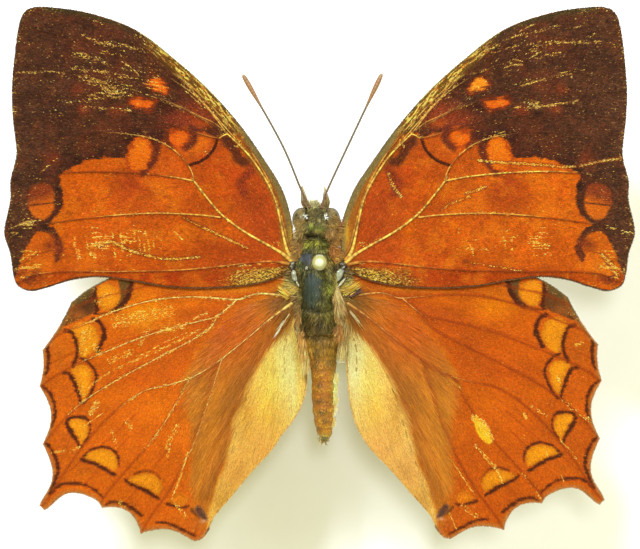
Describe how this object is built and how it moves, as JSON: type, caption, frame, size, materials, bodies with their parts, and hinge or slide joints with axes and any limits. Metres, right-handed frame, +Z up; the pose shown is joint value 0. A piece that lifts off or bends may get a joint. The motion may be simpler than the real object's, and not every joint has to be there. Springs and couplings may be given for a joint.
{
  "type": "pinned spread butterfly",
  "caption": "Life-size mounted butterfly: orange and dark brown wings spread flat, toothed and tailed hind wings, on a steel pin with a round head in a small plain display block",
  "frame": {"origin": "on the underside of the display block, straight below the pin", "axes": "+Z up along the pin, +Y towards the butterfly's head, +X along its wingspan towards its right wings seen from above with the head away"},
  "size_m": [0.0568, 0.0482, 0.0402],
  "materials": {
    "wing_fore": "rust orange scales darkening to black-brown at the tip, gold glints",
    "wing_hind": "orange scales with yellow eyespots in dark arcs, pale inner margin",
    "body_hair_dark": "olive and blue-black scales and hair",
    "body_hair_tan": "orange-brown hair and scales",
    "eye": "dark olive-brown compound eye, glossy",
    "feeler": "ringed brown, satin, reddish club",
    "leg": "scaled brown",
    "pin_steel": "polished entomological pin",
    "pin_head": "pale gold round head, glossy",
    "block": "plain off-white, satin"
  },
  "bodies": {
    "root": {"head": "body_hair_dark", "eye_left": "eye", "eye_right": "eye", "palp_left": "body_hair_tan", "palp_right": "body_hair_tan", "antenna_left": "feeler", "antenna_right": "feeler", "thorax": "body_hair_dark", "abdomen": "body_hair_tan", "forewing_left": "wing_fore", "forewing_right": "wing_fore", "hindwing_left": "wing_hind", "hindwing_right": "wing_hind", "foreleg_left": "leg", "foreleg_right": "leg", "midleg_left": "leg", "midleg_right": "leg", "hindleg_left": "leg", "hindleg_right": "leg", "stand_pin": "pin_steel", "stand_pin_head": "pin_head", "stand_base": "block"}
  },
  "joints": []
}
